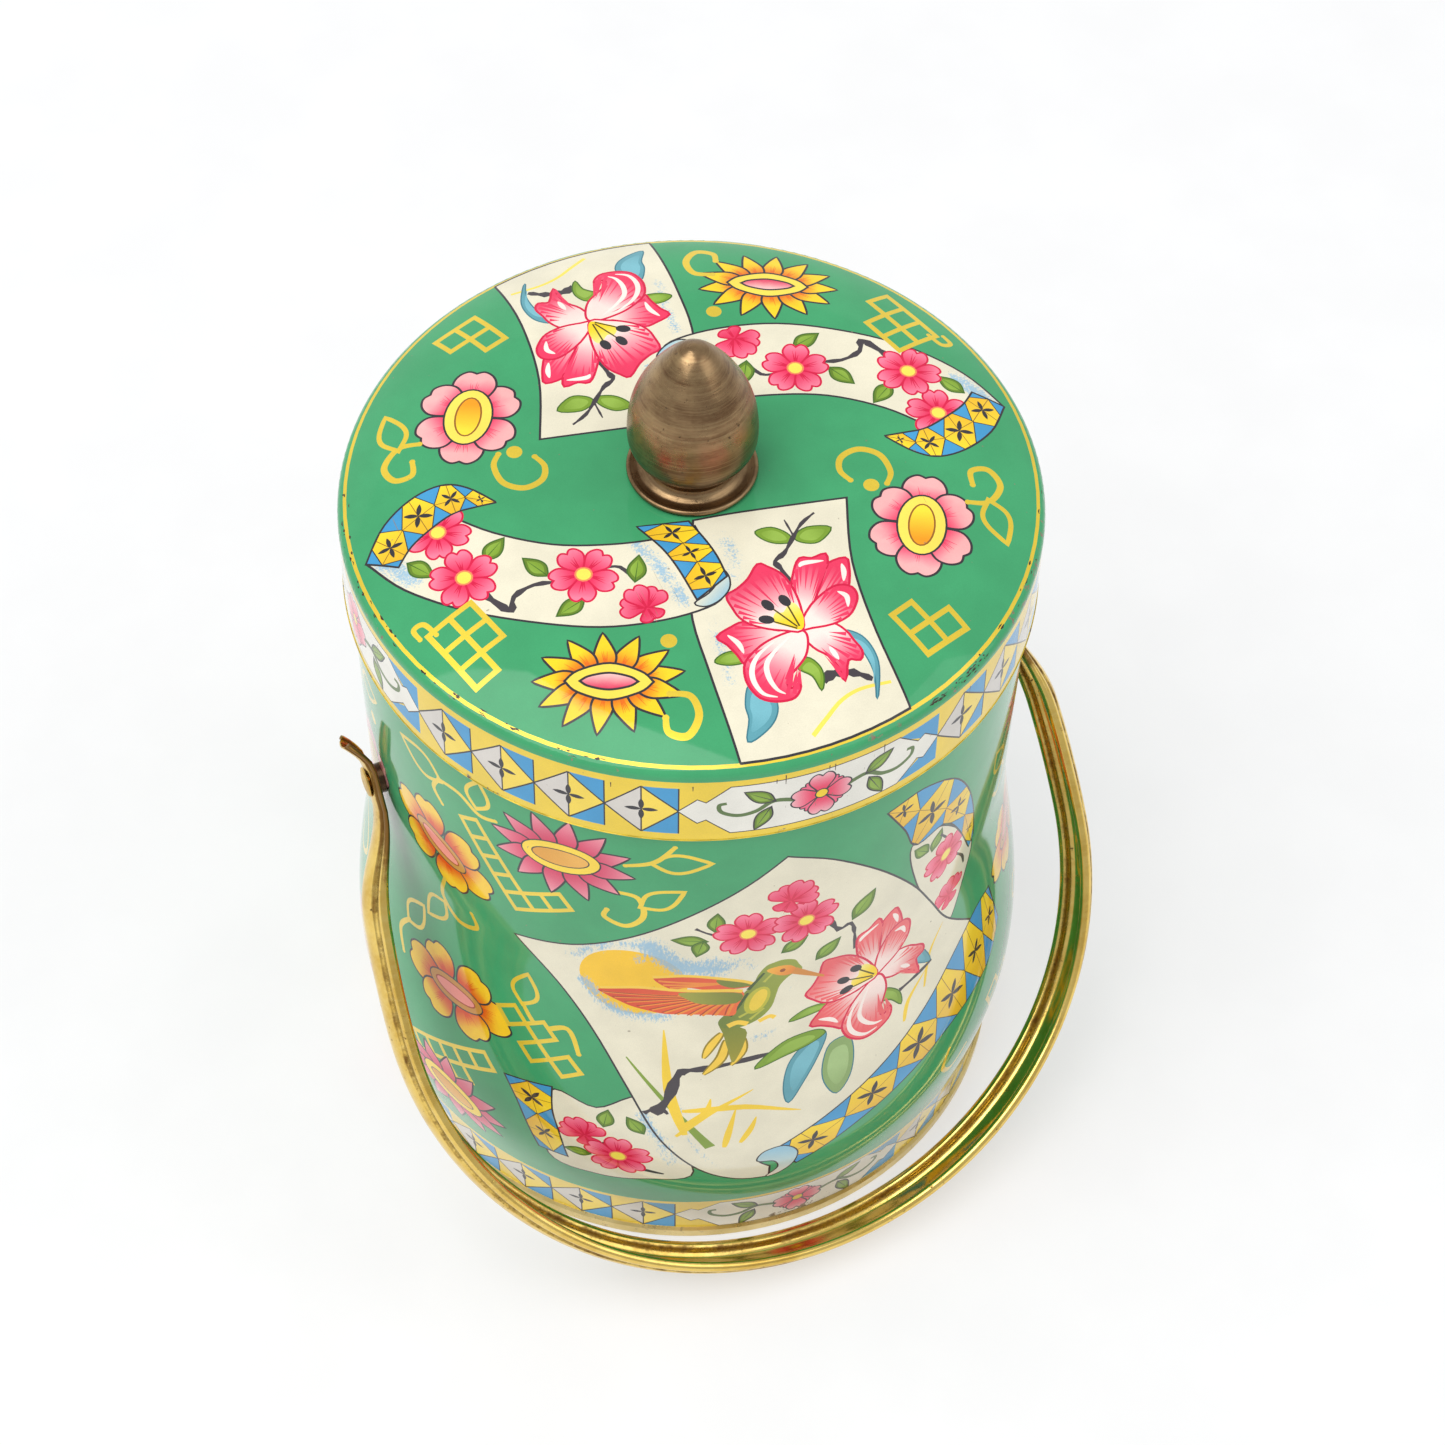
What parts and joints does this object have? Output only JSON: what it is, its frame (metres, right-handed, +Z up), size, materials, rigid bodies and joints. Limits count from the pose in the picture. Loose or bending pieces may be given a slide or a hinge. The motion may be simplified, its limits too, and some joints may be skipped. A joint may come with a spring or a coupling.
{
  "type": "tea caddy",
  "caption": "Round printed tinplate tea caddy with a slip-on domed lid, an acorn knob and a swinging bail handle riveted to its sides.",
  "frame": {"origin": "on the caddy's axis, in the plane of its base rim", "axes": "+Z up along the caddy's axis; X along the bail handle's pivot axis; the bail hangs down over the -Y side at rest; +Y is the back, and the wall's lock seam runs 20 degrees behind the +X pivot"},
  "size_m": [0.139, 0.1378, 0.1838],
  "materials": {
    "printed_tin": "gloss green lithographed tinplate",
    "base_tin": "bare tinplate, slightly dulled",
    "bail_brass": "lacquered brass with brown tarnish in the creases",
    "knob_brass": "dark, aged brass",
    "fastener_steel": "zinc-plated steel"
  },
  "bodies": {
    "tin": {"body_wall": "printed_tin", "body_base": "base_tin", "left_pivot_rivet": "bail_brass", "right_pivot_rivet": "bail_brass", "left_rivet_washer": "fastener_steel", "right_rivet_washer": "fastener_steel"},
    "lid": {"lid_shell": "printed_tin", "knob": "knob_brass", "knob_collar": "knob_brass", "knob_screw": "fastener_steel", "knob_washer": "fastener_steel"},
    "handle": {"bail_handle": "bail_brass"}
  },
  "joints": [
    {"name": "lid_lift", "type": "slide", "parent": "tin", "child": "lid", "axis": [0, 0, 1], "range_m": [0, 0.045]},
    {"name": "handle_swing", "type": "hinge", "parent": "tin", "child": "handle", "pos_m": [0, 0, 0.097], "axis": [-1, 0, 0], "range_deg": [0, 286]}
  ]
}
